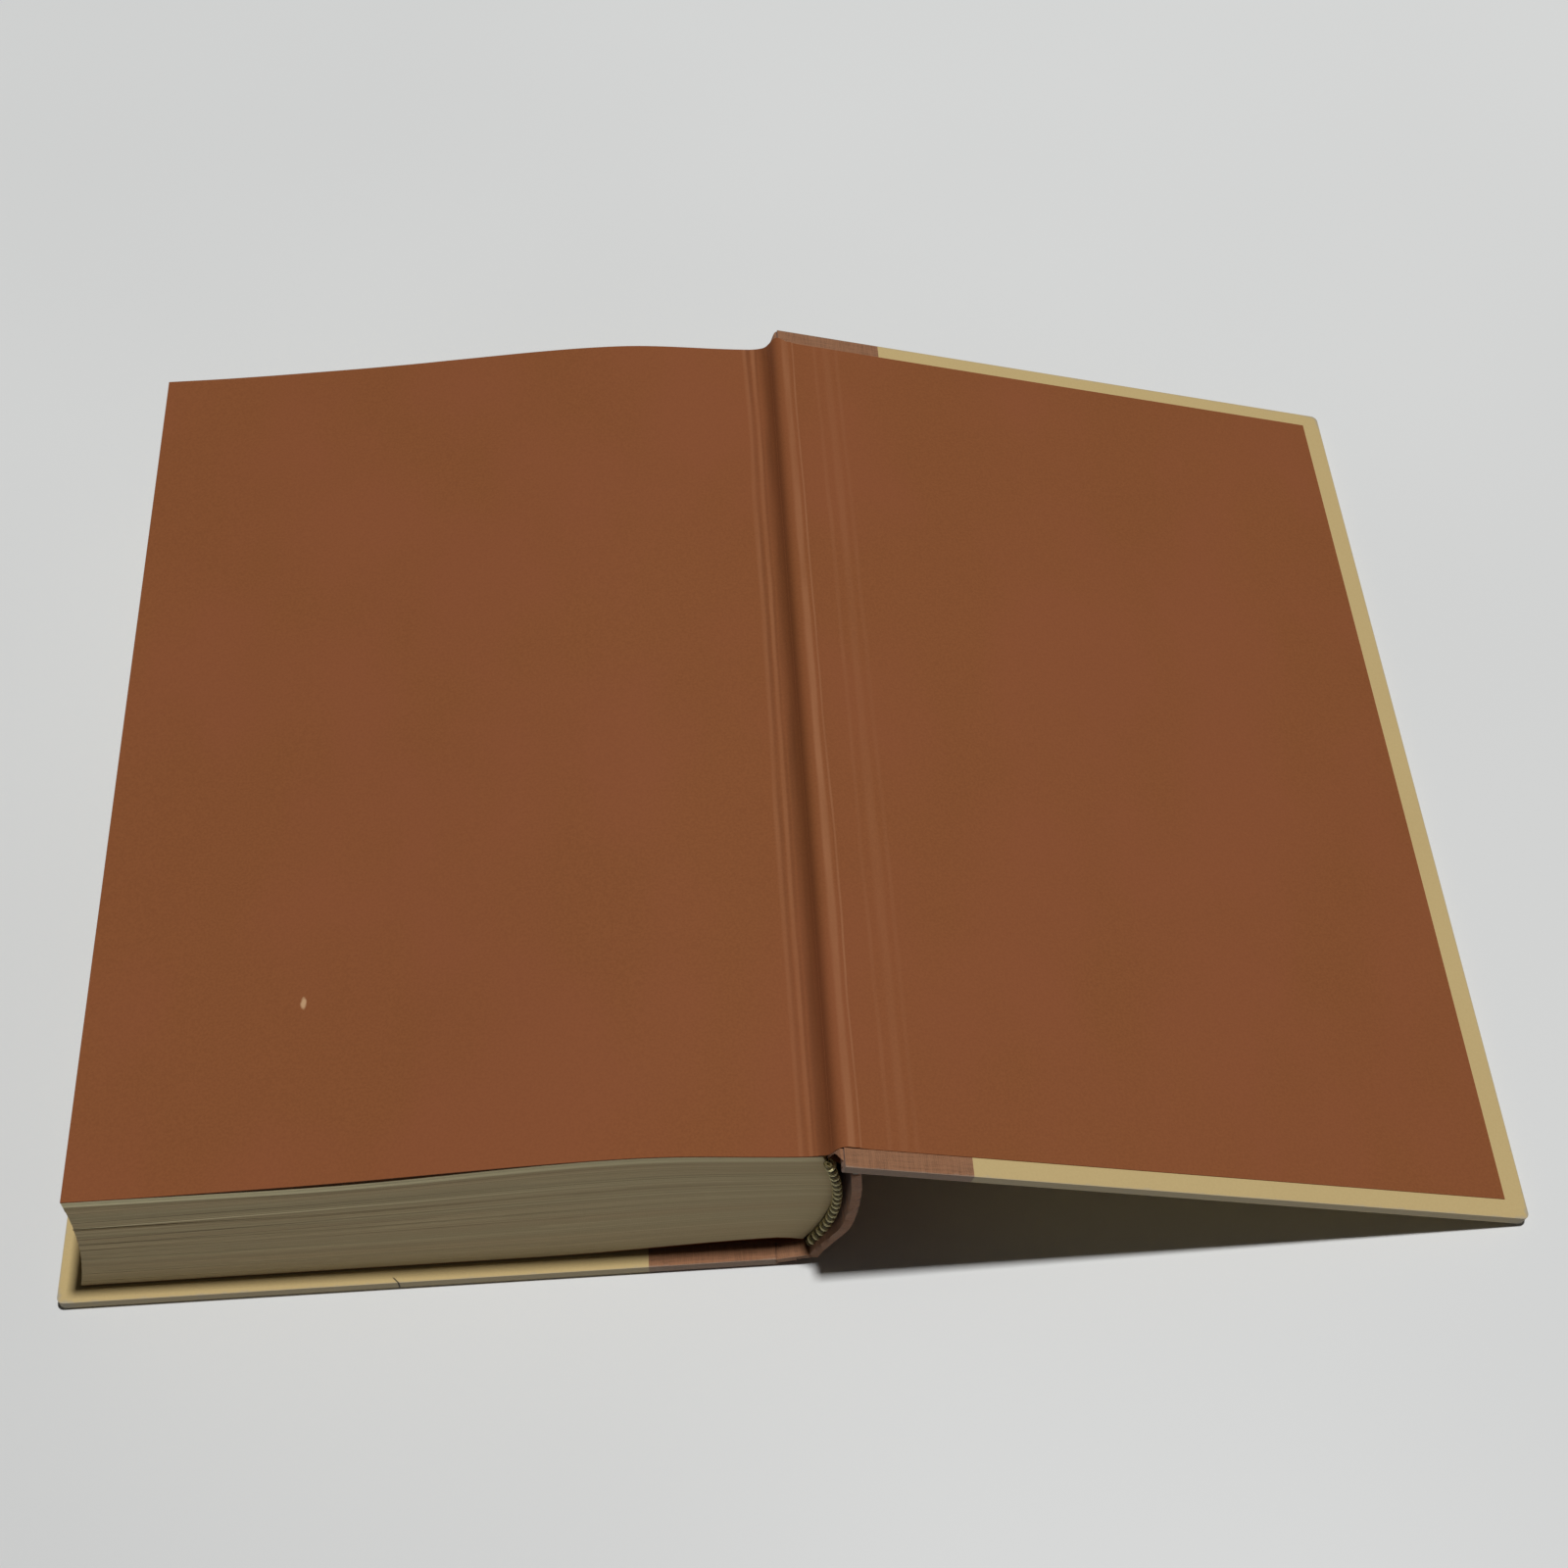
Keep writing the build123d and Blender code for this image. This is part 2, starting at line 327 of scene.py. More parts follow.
def bump(tree, shader, height, distance, strength=1.0):
    node = put(tree, "Bump", Height=height, Distance=distance, Strength=strength)
    tree.links.new(node.outputs[0], shader.inputs["Normal"])


def objectPlace(tree):
    return put(tree, "TexCoord").outputs["Object"]


def uvPlace(tree):
    return put(tree, "TexCoord").outputs["UV"]


# Paper: soft broad patches, short fibres and a faint tooth
paperGroup, source, result = newGroup("paperFibre", [
    ("Vector", "Vector", None), ("Colour", "Color", rgb(0.5, 0.4, 0.2)),
    ("Deep colour", "Color", rgb(0.3, 0.2, 0.1)),
    ("Mottle", "Float", 0.5), ("Fibres", "Float", 0.4)], [("Colour", "Color"), ("Height", "Float")])
broad = grain(paperGroup, source["Vector"], 22.0, 2.0, 0.5)
fine = grain(paperGroup, source["Vector"], 1900.0, 2.0, 0.65)
fibre = grain(paperGroup, stretched(paperGroup, source["Vector"], (1.0, 0.25, 1.0)), 2600.0, 1.0, 0.5)
patch = calc(paperGroup, "MULTIPLY", levels(paperGroup, broad, 0.3, 0.7), source["Mottle"])
speck = calc(paperGroup, "MULTIPLY", levels(paperGroup, fine, 0.38, 0.64), source["Fibres"])
shadeOf = calc(paperGroup, "ADD", patch, speck)
feed(paperGroup, result["Colour"], blendColours(paperGroup, shadeOf, source["Colour"], source["Deep colour"]))
feed(paperGroup, result["Height"], calc(paperGroup, "ADD", fine, calc(paperGroup, "MULTIPLY", fibre, 0.6)))

# Cloth: threads over and under each other, with thicker and thinner places
clothGroup, source, result = newGroup("wovenThreads", [
    ("Vector", "Vector", None), ("Pitch", "Float", 0.0005), ("Colour", "Color", rgb(0.3, 0.15, 0.1)),
    ("Gap colour", "Color", rgb(0.1, 0.05, 0.03))], [("Colour", "Color"), ("Height", "Float")])
slanted = put(clothGroup, "Mapping", Vector=source["Vector"], Rotation=(0, 0, 0.7)).outputs[0]
drift = put(clothGroup, "TexNoise", Vector=source["Vector"], Scale=700.0, Detail=2.0).outputs["Color"]
uneven = put(clothGroup, "VectorMath", {"operation": "MULTIPLY_ADD"}).inputs
for socket, value in zip(uneven, (drift, (0.0009, 0.0009, 0.0009), slanted)):
    feed(clothGroup, socket, value)
place = put(clothGroup, "SeparateXYZ", Vector=clothGroup.nodes[-1].outputs[0]).outputs
turns = calc(clothGroup, "DIVIDE", 2 * pi, source["Pitch"])
across = calc(clothGroup, "SINE", calc(clothGroup, "MULTIPLY",
                                       calc(clothGroup, "SUBTRACT", place[0], place[2]), turns))
along = calc(clothGroup, "SINE", calc(clothGroup, "MULTIPLY", calc(clothGroup, "ADD", place[1], place[2]),
                                      turns))
weave = levels(clothGroup, calc(clothGroup, "MULTIPLY", across, along), -1.0, 1.0)
slubs = calc(clothGroup, "ADD", grain(clothGroup, stretched(clothGroup, source["Vector"], (0.08, 1.0, 1.0)),
                                      2200.0, 1.0),
             grain(clothGroup, stretched(clothGroup, source["Vector"], (1.0, 0.08, 1.0)), 2200.0, 1.0))
thread = calc(clothGroup, "ADD", calc(clothGroup, "MULTIPLY", weave, 0.3),
              calc(clothGroup, "MULTIPLY", slubs, 0.56))
feed(clothGroup, result["Colour"], blendColours(clothGroup, levels(clothGroup, thread, 0.3, 0.85),
                                                source["Gap colour"], source["Colour"]))
feed(clothGroup, result["Height"], thread)

# Wear along the head, tail and fore edge of a cover, in the cover's own directions: x from the hinge, y from
# the middle
wearGroup, source, result = newGroup("coverEdgeWear", [("Vector", "Vector", None), ("Reach", "Float", 0.149)],
                                     [("Wear", "Float")])
place = put(wearGroup, "SeparateXYZ", Vector=source["Vector"]).outputs
toEnd = calc(wearGroup, "SUBTRACT", 0.1175, calc(wearGroup, "ABSOLUTE", place[1]))
toFore = calc(wearGroup, "SUBTRACT", source["Reach"], place[0])
nearest = calc(wearGroup, "MINIMUM", toEnd, toFore)
corner = levels(wearGroup, calc(wearGroup, "ADD", toEnd, toFore), 0.006, 0.001, 0.0, 0.0009)
ragged = calc(wearGroup, "MULTIPLY_ADD", grain(wearGroup, source["Vector"], 330.0, 5.0, 0.7), 0.0024, -0.0013)
worn = calc(wearGroup, "SUBTRACT", calc(wearGroup, "ADD", ragged, corner), nearest)
rim = levels(wearGroup, nearest, 0.00025, 0.0, 0.0, 0.6)
feed(wearGroup, result["Wear"], calc(wearGroup, "MAXIMUM", levels(wearGroup, worn, -0.0004, 0.0005), rim))

coverPlaces = {
    "front": {"location": (-0.0034153, 0.00075, 0.0029), "rotation": (0, pi, 0)},
    "back": {"location": (0.0093563, -0.00075, 0.0443437), "rotation": (0, radians(book["coverSlope"]), 0)},
    "spine": {"location": (0, 0.00075, 0), "rotation": (0, 0, 0)},
}


def coverPlace(tree, side):
    node = put(tree, "Mapping", {"vector_type": "TEXTURE"}, Vector=objectPlace(tree))
    node.inputs["Location"].default_value = coverPlaces[side]["location"]
    node.inputs["Rotation"].default_value = coverPlaces[side]["rotation"]
    return node.outputs[0]


clothLook = {"colour": rgb(0.285, 0.128, 0.062), "gap": rgb(0.125, 0.052, 0.024),
             "worn": rgb(0.31, 0.265, 0.215),
             "faded": rgb(0.3, 0.19, 0.12), "pitch": 0.00056}


def makeCloth(name, side, fading=0.2, reach=0.149, rubbed=0.8):
    material, tree, shader = newMaterial(name, 0.85, 0.2)
    vector = coverPlace(tree, side)
    threads = placeGroup(tree, clothGroup, Vector=vector, Pitch=clothLook["pitch"],
                         Colour=clothLook["colour"])
    threads[0].node.inputs["Gap colour"].default_value = clothLook["gap"]
    faded = blendColours(tree, levels(tree, grain(tree, vector, 90.0, 4.0), 0.35, 0.75, fading * 0.4, fading),
                         threads["Colour"], clothLook["faded"])
    wear = placeGroup(tree, wearGroup, Vector=vector, Reach=reach)["Wear"]
    faded = blendColours(tree, calc(tree, "MULTIPLY", wear, rubbed), faded, clothLook["worn"])
    tree.links.new(faded, shader.inputs["Base Color"])
    shader.inputs["Sheen Weight"].default_value = 0.15
    bump(tree, shader, threads["Height"], 0.0001, 0.6)
    return material


def makeCream(side, nick=None):
    material, tree, shader = newMaterial(side + "SidePaper", 0.72, 0.3)
    vector = coverPlace(tree, side)
    paper = placeGroup(tree, paperGroup, Vector=vector, Colour=rgb(0.535, 0.403, 0.184), Mottle=0.16,
                       Fibres=0.14)
    paper[0].node.inputs["Deep colour"].default_value = rgb(0.42, 0.3, 0.13)
    wear = placeGroup(tree, wearGroup, Vector=vector)["Wear"]
    rubbed = blendColours(tree, calc(tree, "MULTIPLY", wear, 0.85), paper["Colour"], rgb(0.36, 0.325, 0.26))
    if nick:
        # a short tear in the turned edge, drawn as a near-black slanted line of painted shade in place of a
        # notch in the shape
        spot = put(tree, "SeparateXYZ", Vector=vector).outputs
        slant = calc(tree, "MULTIPLY_ADD", spot[1], -0.9, spot[0])
        tearShade = calc(tree, "MULTIPLY", band(tree, slant, nick - 0.0001, nick + 0.0001, 0.00015),
                    levels(tree, spot[1], -0.1161, -0.1165))
        rubbed = blendColours(tree, tearShade, rubbed, rgb(0.05, 0.035, 0.02))
    tree.links.new(rubbed, shader.inputs["Base Color"])
    bump(tree, shader, paper["Height"], 0.00003, 0.5)
    return material


# the crease colour is a painted highlight on raised creases and ridges, the fold colour painted shade in
# folds and in the joint's groove
rustLook = {"colour": rgb(0.24, 0.08, 0.0245), "deep": rgb(0.195, 0.062, 0.018),
            "warm": rgb(0.247, 0.075, 0.029),
            "creaseHighlight": rgb(0.36, 0.155, 0.07), "fold": rgb(0.1, 0.03, 0.009), "scuffed": rgb(0.5, 0.3, 0.16)}


def makeEndpaper(name, creaseHighlights=(), foldShades=(), scuff=None):
    material, tree, shader = newMaterial(name, 0.82, 0.22)
    place = objectPlace(tree)
    paper = placeGroup(tree, paperGroup, Vector=place, Colour=rustLook["colour"], Mottle=0.14, Fibres=0.55)
    paper[0].node.inputs["Deep colour"].default_value = rustLook["deep"]
    warm = levels(tree, grain(tree, stretched(tree, place, (1.0, 0.6, 1.0)), 30.0, 2.0), 0.4, 0.62, 0.0, 0.45)
    colour = blendColours(tree, warm, paper["Colour"], rustLook["warm"])
    height = paper["Height"]
    uv = put(tree, "SeparateXYZ", Vector=uvPlace(tree)).outputs
    # painted highlights along the raised creases and painted shade along the sunken folds, each with a
    # matching bump
    if creaseHighlights:
        wander = grain(tree, stretched(tree, uvPlace(tree), (0.4, 0.05, 1.0)), 420.0, 2.0)
        u = calc(tree, "MULTIPLY_ADD", wander, 0.0014, calc(tree, "SUBTRACT", uv[0], 0.0007))
        strength = levels(tree, grain(tree, stretched(tree, uvPlace(tree), (2.0, 0.2, 1.0)), 160.0, 2.0), 0.3,
                          0.7, 0.35, 1.0)
        for group, tint, rise in ((creaseHighlights, "creaseHighlight", 2.0), (foldShades, "fold", -1.0)):
            lines = 0.0
            for middle, width, soft, amount in group:
                line = calc(tree, "MULTIPLY", band(tree, u, middle - width, middle + width, soft), amount)
                lines = calc(tree, "MAXIMUM", lines, line)
            lines = calc(tree, "MULTIPLY", lines, strength)
            colour = blendColours(tree, lines, colour, rustLook[tint])
            height = calc(tree, "MULTIPLY_ADD", lines, rise, height)
    if scuff:
        spot = put(tree, "SeparateXYZ", Vector=place).outputs
        dx = calc(tree, "SUBTRACT", spot[0], scuff[0])
        dy = calc(tree, "MULTIPLY", calc(tree, "SUBTRACT", spot[1], scuff[1]), 0.42)
        away = calc(tree, "SQRT", calc(tree, "ADD", calc(tree, "MULTIPLY", dx, dx),
                                       calc(tree, "MULTIPLY", dy, dy)))
        away = calc(tree, "MULTIPLY_ADD", grain(tree, place, 1100.0), 0.0005, away)
        colour = blendColours(tree, levels(tree, away, 0.00095, 0.0006), colour, rustLook["scuffed"])
    tree.links.new(colour, shader.inputs["Base Color"])
    bump(tree, shader, height, 0.00003, 0.45)
    return material


leafLook = {"dark": rgb(0.36, 0.275, 0.145), "light": rgb(0.6, 0.49, 0.285), "brown": rgb(0.46, 0.33, 0.18),
            "bright": rgb(0.95, 0.85, 0.52), "shade": rgb(0.22, 0.16, 0.08),
            # height share, half width and strength of lines on single leaves that stand out: painted
            # highlights in the pale lines, painted shade in the dark ones
            "highlightLines": [(0.687, 0.0016, 0.9), (0.8, 0.001, 0.35), (0.64, 0.001, 0.3)],
            "shadeLines": [(0.755, 0.0022, 0.8), (0.667, 0.0015, 0.5), (0.555, 0.0022, 0.7),
                          (0.49, 0.002, 0.7), (0.425, 0.0015, 0.4),
                          (0.86, 0.001, 0.4)]}


def makeLeaves():
    # u runs along the edge in metres (from 0.4 up on the fore edge), v from the lowest leaf to the top one
    material, tree, shader = newMaterial("leafEdges", 0.8, 0.2)
    uv = uvPlace(tree)
    place = put(tree, "SeparateXYZ", Vector=uv).outputs
    # the leaves rise towards the crown more slowly than the top does
    height = calc(tree, "SUBTRACT", place[1], levels(tree, place[0], 0.008, 0.065, 0.0, 0.06))
    lifted = put(tree, "CombineXYZ", X=place[0], Y=height).outputs[0]
    thin = grain(tree, stretched(tree, lifted, (4.0, 280.0, 1.0)), 1.0, 2.0, 0.65)
    packs = grain(tree, stretched(tree, lifted, (1.2, 70.0, 1.0)), 1.0, 3.0, 0.6)
    wide = grain(tree, stretched(tree, uv, (2.5, 7.0, 1.0)), 1.0, 2.0, 0.5)
    coarse = levels(tree, place[1], 0.25, 0.5, 0.2, 0.5)
    tone = calc(tree, "ADD", calc(tree, "MULTIPLY", calc(tree, "SUBTRACT", thin, 0.5), 0.45),
                calc(tree, "MULTIPLY", calc(tree, "SUBTRACT", packs, 0.5), coarse))
    colour = blendColours(tree, levels(tree, tone, -0.16, 0.16), leafLook["dark"], leafLook["light"])
    colour = blendColours(tree, levels(tree, wide, 0.4, 0.65, 0.0, 0.6), colour, leafLook["brown"])
    lowest = levels(tree, place[1], 0.06, 0.0, 0.0, 0.5)
    colour = blendColours(tree, lowest, colour, leafLook["light"])
    fading = levels(tree, place[0], 0.12, 0.045, 0.0, 1.0)
    # painted shade and painted highlights along single leaves, fading out towards the spine
    for lines, tint in (("shadeLines", "shade"), ("highlightLines", "bright")):
        for middle, width, amount in leafLook[lines]:
            line = calc(tree, "MULTIPLY", band(tree, height, middle - width, middle + width, 0.003), amount)
            colour = blendColours(tree, calc(tree, "MULTIPLY", line, fading), colour, leafLook[tint])
    topmost = calc(tree, "MULTIPLY", band(tree, place[1], 0.95, 1.1, 0.01),
                   levels(tree, place[0], 0.16, 0.03, 0.3, 0.75))
    colour = blendColours(tree, topmost, colour, leafLook["bright"])
    tree.links.new(colour, shader.inputs["Base Color"])
    bump(tree, shader, tone, 0.0003, 0.6)
    return material


barePapers = {
    "binderBoard": {"roughness": 0.9, "colour": rgb(0.34, 0.31, 0.27), "deep": rgb(0.2, 0.18, 0.15),
                    "grain": 0.6, "depth": 0.00008},
    "liningPaper": {"roughness": 0.85, "colour": rgb(0.3, 0.19, 0.1), "deep": rgb(0.17, 0.1, 0.05),
                    "grain": 0.5, "depth": 0.00006},
}


def makeBarePaper(name):
    look = barePapers[name]
    material, tree, shader = newMaterial(name, look["roughness"], 0.2)
    paper = placeGroup(tree, paperGroup, Vector=objectPlace(tree), Colour=look["colour"],
                       Mottle=look["grain"], Fibres=look["grain"])
    paper[0].node.inputs["Deep colour"].default_value = look["deep"]
    tree.links.new(paper["Colour"], shader.inputs["Base Color"])
    bump(tree, shader, paper["Height"], look["depth"], 0.6)
    return material


def makeMull():
    material, tree, shader = newMaterial("mullCotton", 0.9, 0.2)
    threads = placeGroup(tree, clothGroup, Vector=objectPlace(tree), Pitch=0.0011,
                         Colour=rgb(0.62, 0.57, 0.45))
    threads[0].node.inputs["Gap colour"].default_value = rgb(0.2, 0.15, 0.1)
    tree.links.new(threads["Colour"], shader.inputs["Base Color"])
    bump(tree, shader, threads["Height"], 0.00015, 0.8)
    return material


def makeThread(name, light, dark):
    material, tree, shader = newMaterial(name, 0.6, 0.35)
    strands = put(tree, "TexWave", {"wave_type": "BANDS", "bands_direction": "DIAGONAL"},
                  Vector=objectPlace(tree), Scale=900.0,
                  Distortion=2.0, Detail=2.0).outputs["Fac"]
    colour = blendColours(tree, strands, dark, light)
    tree.links.new(colour, shader.inputs["Base Color"])
    bump(tree, shader, strands, 0.0001, 0.6)
    return material


cloth = makeCloth("bookCloth", "spine", 0.25, 1.0, 0.25)
clothFront = makeCloth("frontBookCloth", "front")
clothBack = makeCloth("backBookCloth", "back")
creamFront = makeCream("front", nick=0.1845)
creamBack = makeCream("back")
rust = makeEndpaper("endpaper")
# bands of painted light and painted shade across the groove at the back joint, the darkest on the fold line
rustTop = makeEndpaper("topEndpaper", creaseHighlights=[
    (0.1446, 0.0002, 0.0006, 0.3), (0.1466, 0.0002, 0.0005, 0.35)], foldShades=[
    (0.1454, 0.0002, 0.0006, 0.3), (0.1474, 0.0001, 0.0006, 0.35), (0.149, 0.0005, 0.0012, 0.45)],
                       scuff=(-0.0977, -0.0714))
# painted highlights along the low ridges of the pasted leaf near the hinge
rustPasted = makeEndpaper("pastedEndpaper", creaseHighlights=[
    (0.0046, 0.00035, 0.0008, 0.6), (0.0065, 0.00007, 0.0003, 0.6), (0.0125, 0.0001, 0.0006, 0.16),
    (0.0155, 0.0003, 0.0012, 0.18), (0.0182, 0.0001, 0.0007, 0.12)])
leafEdges = makeLeaves()
board = makeBarePaper("binderBoard")
lining = makeBarePaper("liningPaper")
mullCotton = makeMull()
paleThread = makeThread("paleThread", rgb(0.9, 0.81, 0.44), rgb(0.55, 0.47, 0.22))
oliveThread = makeThread("oliveThread", rgb(0.13, 0.1, 0.03), rgb(0.05, 0.035, 0.01))
print("materials made")

for name, material in {
    "front_board": board, "back_board": board, "spine_inlay": board, "front_board_cloth": clothFront,
    "back_board_cloth": clothBack, "spine_cloth": cloth, "front_side_paper": creamFront,
    "back_side_paper": creamBack,
    "front_mull_flange": mullCotton, "back_mull_flange": mullCotton, "front_joint_mull": mullCotton,
    "back_joint_mull": mullCotton, "spine_mull": mullCotton, "spine_lining": lining,
}.items():
    dress(nodes[name], material)

# The leaves

pageBlock = {
    "columns": 56,
    "groups": 58,
    "lengthCuts": 12,
    "step": 0.05,       # how far leaf groups stand out at tail, head and fore edge
    "proudAt": 0.7,     # height share of the leaf that stands out most
    "proud": 0.16,
}


def leafRows():
    # rows in pairs: the foot and the top of each group of leaves, with the group's offset
    random.seed(7)
    sizes = [0.35 + random.random() ** 2 for _ in range(pageBlock["groups"])]
    total = sum(sizes)
    rows = []
    height = 0.0
    for size in sizes:
        top = height + size / total
        offset = pageBlock["step"] * (random.random() - 0.5) * 2
        if height <= pageBlock["proudAt"] < top:
            offset = pageBlock["proud"]
            middle = height + 0.0035
            rows += [(height, offset), (middle, offset)]
            height = middle
            offset = -0.03
        rows += [(height + 0.08 * (top - height), offset), (top, offset)]
        height = top
    rows[0] = (0.0, rows[0][1])
    rows[-1] = (1.0, 0.0)
    return rows


def makePages():
    rows = leafRows()
    columns = pageBlock["columns"]
    bpy.ops.mesh.primitive_grid_add(x_subdivisions=columns, y_subdivisions=len(rows) - 1, size=1)
    piece = bpy.context.object
    piece.name = "page_block"
    bpy.ops.object.mode_set(mode="EDIT")
    bpy.ops.mesh.select_all(action="SELECT")
    bpy.ops.mesh.extrude_region_move(TRANSFORM_OT_translate={"value": (0, 0, 1)})
    for cut in range(1, pageBlock["lengthCuts"]):
        bpy.ops.mesh.select_all(action="SELECT")
        bpy.ops.mesh.bisect(plane_co=(0, 0, cut / pageBlock["lengthCuts"]), plane_no=(0, 0, 1))
    bpy.ops.object.mode_set(mode="OBJECT")
    low, high = book["foreLow"], book["foreHigh"]
    lowEnd, highEnd = book["frontShoulder"], book["backShoulder"]
    marks = []
    for vertex in piece.data.vertices:
        u = vertex.co.x + 0.5
        row = round((vertex.co.y + 0.5) * (len(rows) - 1))
        share = vertex.co.z
        v, offset = rows[row]
        bottomX, topX = mix(low[0], lowEnd[0], u), mix(high[0], highEnd[0], u)
        bulge = 4 * v * (1 - v) * mix(leafShape["foreHollow"], leafShape["spineRound"], u)
        x = mix(bottomX, topX, v) + bulge
        z = mix(pageFloor(bottomX), pageRoof(topX), v)
        y = mix(book["tail"], book["head"], share)
        wander = offset * (0.7 + 0.6 * noise.noise(Vector((u * 3, v * 40, share * 5))))
        if share < 0.001:
            y -= wander * (1 - u)
        elif share > 0.999:
            y += wander * (1 - u)
        if u < 0.001:
            x -= wander
        marks.append((x / 1000, y / 1000, v, u))
        vertex.co = inFrame(x, y, z)
    bpy.ops.object.mode_set(mode="EDIT")
    bpy.ops.mesh.select_all(action="SELECT")
    bpy.ops.mesh.normals_make_consistent(inside=False)
    bpy.ops.object.mode_set(mode="OBJECT")
    mesh = piece.data
    layer = mesh.uv_layers.active or mesh.uv_layers.new(name="UVMap")
    for face in mesh.polygons:
        for index in face.loop_indices:
            x, y, v, u = marks[mesh.loops[index].vertex_index]
            if abs(face.normal.y) > 0.5:
                layer.data[index].uv = (x, v)
            elif abs(face.normal.z) > 0.5:
                layer.data[index].uv = (x, y * 40)
            else:
                layer.data[index].uv = (y + 0.4, v)
    smooth(piece, 25)
    dress(piece, leafEdges)
    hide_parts("text_block")
    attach(piece, "text")
    return piece


makePages()
print("page block made")

# The endpapers

endpapers = {
    "thickness": 0.2,
    "lift": 0.16,         # middle of the free leaf over the page block
    "loft": 0.9,          # how far it stands off the block at its loosest place
    "loftMiddle": 68.4,
    "loftRun": 52.0,
    "pastedReach": 144.2,
}
stripMiddle = plus(book["backFold"], direction(book["backRise"], book["halfJoint"]))
frontStripMiddle = plus(book["frontHinge"], direction(book["frontRise"], book["halfJoint"]))
coverAlong = direction(-book["coverSlope"])
coverOut = direction(-book["coverSlope"] - 90)
# how far the paper rounds off before and after the fold and the ridge
foldEase, ridgeEase = (1.7, 2.1), (2.4, 1.9)
ridgeLift = 0.25  # the paper stands off the board near the hinge, over the doubled cloth
ridge = plus(book["backHinge"], coverOut, -ridgeLift)


def cockle(size):
    # the slight waves of a loose or glued sheet
    def wave(x, y):
        broad = noise.noise(Vector((x / 38, y / 46, size * 9)))
        fine = noise.noise(Vector((x / 9, y / 14, 3)))
        return size * broad + 0.3 * size * fine
    return wave


def makeTopLeaf():
    start, end = book["foreHigh"][0], book["backShoulder"][0] - 1.0
    path = []
    for index in range(76):
        x = mix(start, end, index / 75)
        gap = endpapers["loft"] * swell(x - endpapers["loftMiddle"], endpapers["loftRun"])
        path.append((x, pageRoof(x) + endpapers["lift"] + gap))
    path = [point for point in path if point[0] < book["backFold"][0] - foldEase[0] - 0.3]
    path += easedPath([(*path[-1], 0), (*book["backFold"], *foldEase), (*stripMiddle, 0)], 0.5)[1:]
    wave = cockle(0.12)

    def ripple(x, y):
        return wave(x, y) * min(1, max(0, (155 - x) / 10)) + 0.06

    ends = lambda x, length: (between(x, [(158, 3.5), (160.3, 2.75)]),
                              between(x, [(158, 231.5), (160.3, 230.75)]))
    leaf = bentSheet("back_endpaper_leaf", path, ends, 48, endpapers["thickness"], ripple)
    dress(leaf, rustTop)
    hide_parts("back_free_endpaper", "back_joint_paper")
    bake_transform(leaf)


def makePastedLeaf():
    far = plus(book["backHinge"], coverAlong, endpapers["pastedReach"])
    path = easedPath([(*stripMiddle, 0), (*ridge, *ridgeEase), (*plus(ridge, coverAlong, 3.4), 0.8),
                      (*plus(book["backHinge"], coverAlong, 5.6), 1.2), (*far, 0)], 0.8)
    wave = cockle(0.05)

    def ripple(x, y):
        u = (x - book["backHinge"][0]) / coverAlong[0]
        ridges = 0.06 * swell(u - 2.0, 0.9) + 0.06 * swell(u - 3.8, 0.5) + 0.03 * swell(u - 12.5, 1.5)
        return ridges + max(0, wave(x, y)) * min(1, max(0, u / 10))

    ends = lambda x, length: (between(length, [(2.75, 2.75), (5, 2.7)]),
                              between(length, [(2.75, 230.75), (5, 229.3)]))
    leaf = bentSheet("back_pasted_endpaper", path, ends, 48, endpapers["thickness"], ripple)
    dress(leaf, rustPasted)
    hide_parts("back_pastedown")
    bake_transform(leaf)


def makeFrontLeaves():
    start, end = book["foreLow"][0], book["frontShoulder"][0] - 0.6
    path = []
    for index in range(61):
        x = mix(start, end, index / 60)
        path.append((x, pageFloor(x) - endpapers["lift"]))
    fold = book["frontFold"]
    path += easedPath([(*path[-1], 0), (*fold, 0.5), (*frontStripMiddle, 0)], 0.5)[1:]
    leaf = bentSheet("front_endpaper_leaf", path, lambda x, length: (3.5, 231.5), 12, endpapers["thickness"])
    dress(leaf, rust)
    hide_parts("front_free_endpaper", "front_joint_paper")
    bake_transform(leaf)
    hinge = book["frontHinge"]
    path = easedPath([(hinge[0] - endpapers["pastedReach"], hinge[1], 0), (*hinge, 0.6),
                      (*frontStripMiddle, 0)], 1.5)
    ends = lambda x, length: (between(x, [(147, 4.2), (150, 3.5)]), between(x, [(147, 230.8), (150, 231.5)]))
    leaf = bentSheet("front_pasted_endpaper", path, ends, 12, endpapers["thickness"])
    dress(leaf, rust)
    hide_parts("front_pastedown")
    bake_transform(leaf)


makeTopLeaf()
makePastedLeaf()
makeFrontLeaves()
print("endpapers made")

# The cloth of the joints

jointCloth = {"middle": 0.4, "thickness": 0.3, "hemMiddle": 0.175, "hemThickness": 0.15, "hem": 15.0,
              "mull": (14.75, 218.75),
              "roll": 1.2, "rollMiddle": 1.1, "rollFrom": 152.4}


